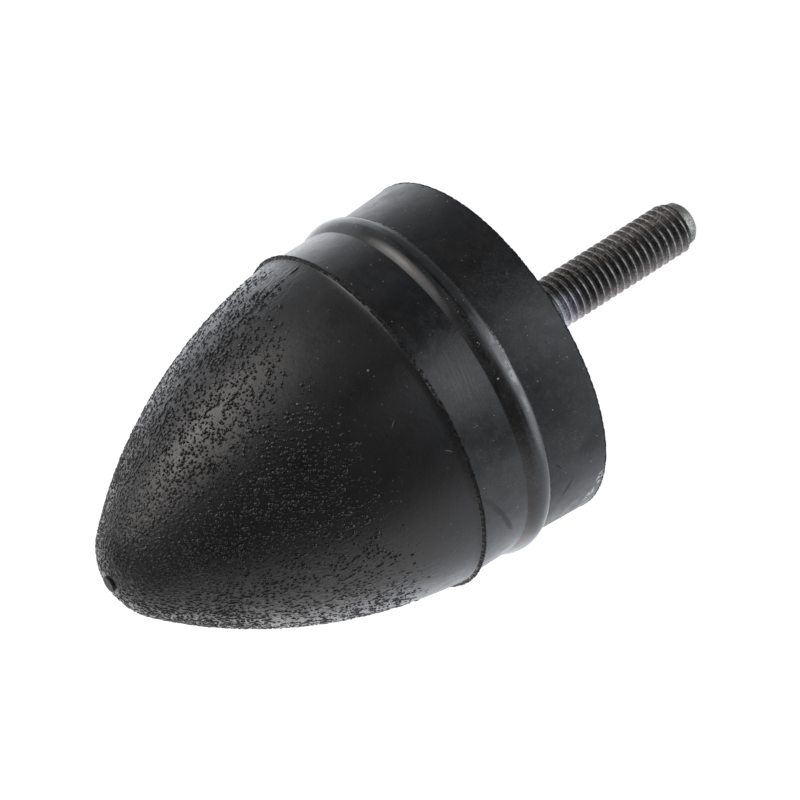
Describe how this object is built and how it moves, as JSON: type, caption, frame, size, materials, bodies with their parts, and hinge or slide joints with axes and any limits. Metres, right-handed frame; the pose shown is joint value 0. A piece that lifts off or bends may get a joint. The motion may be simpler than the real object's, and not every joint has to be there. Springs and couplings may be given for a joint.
{
  "type": "rubber buffer",
  "caption": "Round rubber buffer with a bullet-shaped nose, a raised rib round its base and a threaded steel stud behind.",
  "frame": {"origin": "centre of the back face, where the buffer seats and the stud leaves", "axes": "+Z along the axis towards the tip of the nose, and the stud points along -Z"},
  "size_m": [0.0534, 0.0533, 0.1036],
  "materials": {
    "black_rubber": "semi-gloss moulded rubber, with a grained skin on the nose",
    "plate_steel": "black phosphate, satin",
    "stud_steel": "black oxide, satin, with bright crests"
  },
  "bodies": {
    "root": {"rubber_body": "black_rubber", "backing_plate": "plate_steel", "threaded_stud": "stud_steel"}
  },
  "joints": []
}
